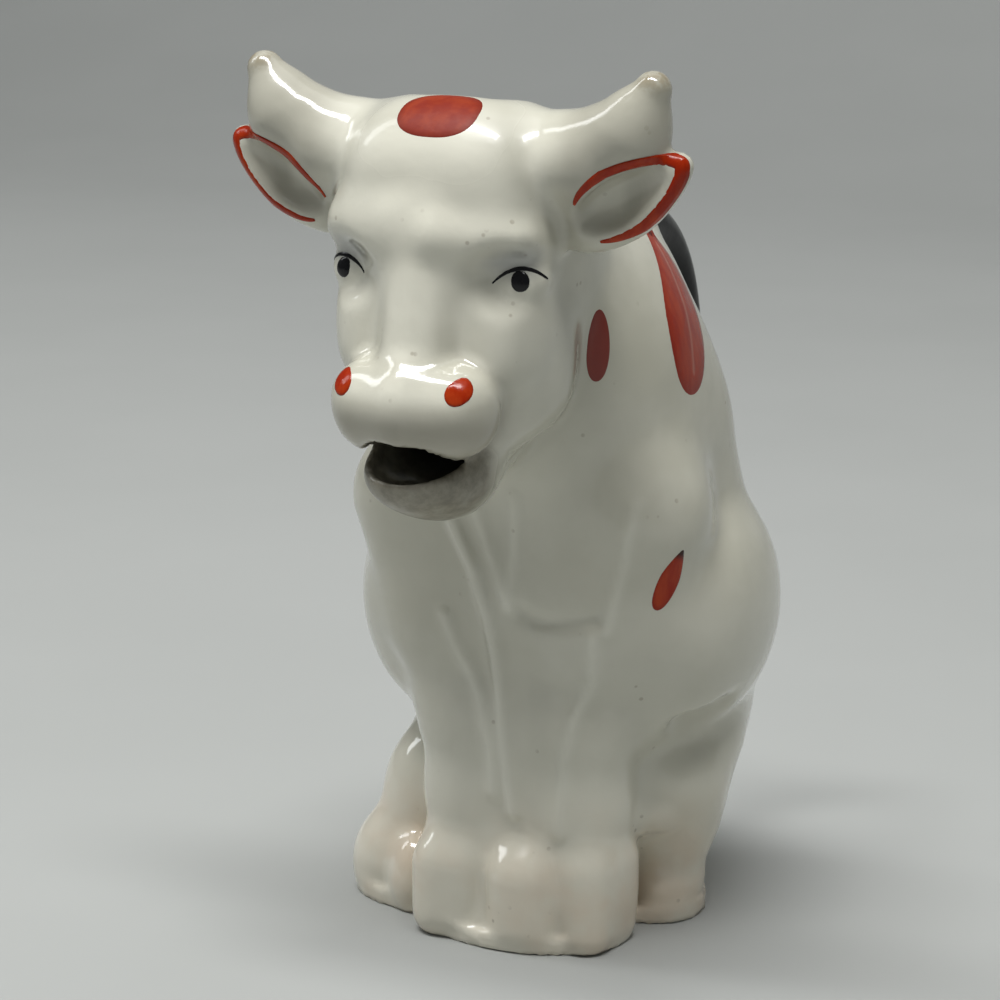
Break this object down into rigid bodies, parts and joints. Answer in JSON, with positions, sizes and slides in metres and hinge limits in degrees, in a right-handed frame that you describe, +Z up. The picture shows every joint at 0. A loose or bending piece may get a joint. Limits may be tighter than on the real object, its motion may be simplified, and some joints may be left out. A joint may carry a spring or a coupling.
{
  "type": "cow creamer",
  "caption": "Seated cow creamer in glazed earthenware: filled behind the head, poured from the open mouth, held by a looped tail handle.",
  "frame": {"origin": "centre of the body's column on the underside of the base plate, where the creamer rests", "axes": "+Z up, -Y the way the cow faces and pours, +X the cow's left"},
  "size_m": [0.064, 0.1011, 0.1259],
  "materials": {
    "cream_glaze": "glossy clear glaze over cream earthenware, fine specks, beige at the feet",
    "black_glaze": "glossy black glaze",
    "red_enamel": "glossy hand-painted orange-red enamel with brush marks",
    "black_enamel": "glossy hand-painted black enamel"
  },
  "bodies": {
    "root": {"base_plate": "cream_glaze", "body": "cream_glaze", "head": "cream_glaze", "lower_jaw": "cream_glaze", "left_horn": "cream_glaze", "right_horn": "cream_glaze", "left_ear": "cream_glaze", "right_ear": "cream_glaze", "left_foreleg": "cream_glaze", "right_foreleg": "cream_glaze", "left_hind_foot": "cream_glaze", "right_hind_foot": "cream_glaze", "tail_handle": "black_glaze", "poll_spot": "red_enamel", "left_nostril": "red_enamel", "right_nostril": "red_enamel", "neck_spot": "red_enamel", "shoulder_leaf": "red_enamel", "flank_spot": "red_enamel", "left_ear_line": "red_enamel", "right_ear_line": "red_enamel", "left_eye": "black_enamel", "right_eye": "black_enamel"}
  },
  "joints": []
}
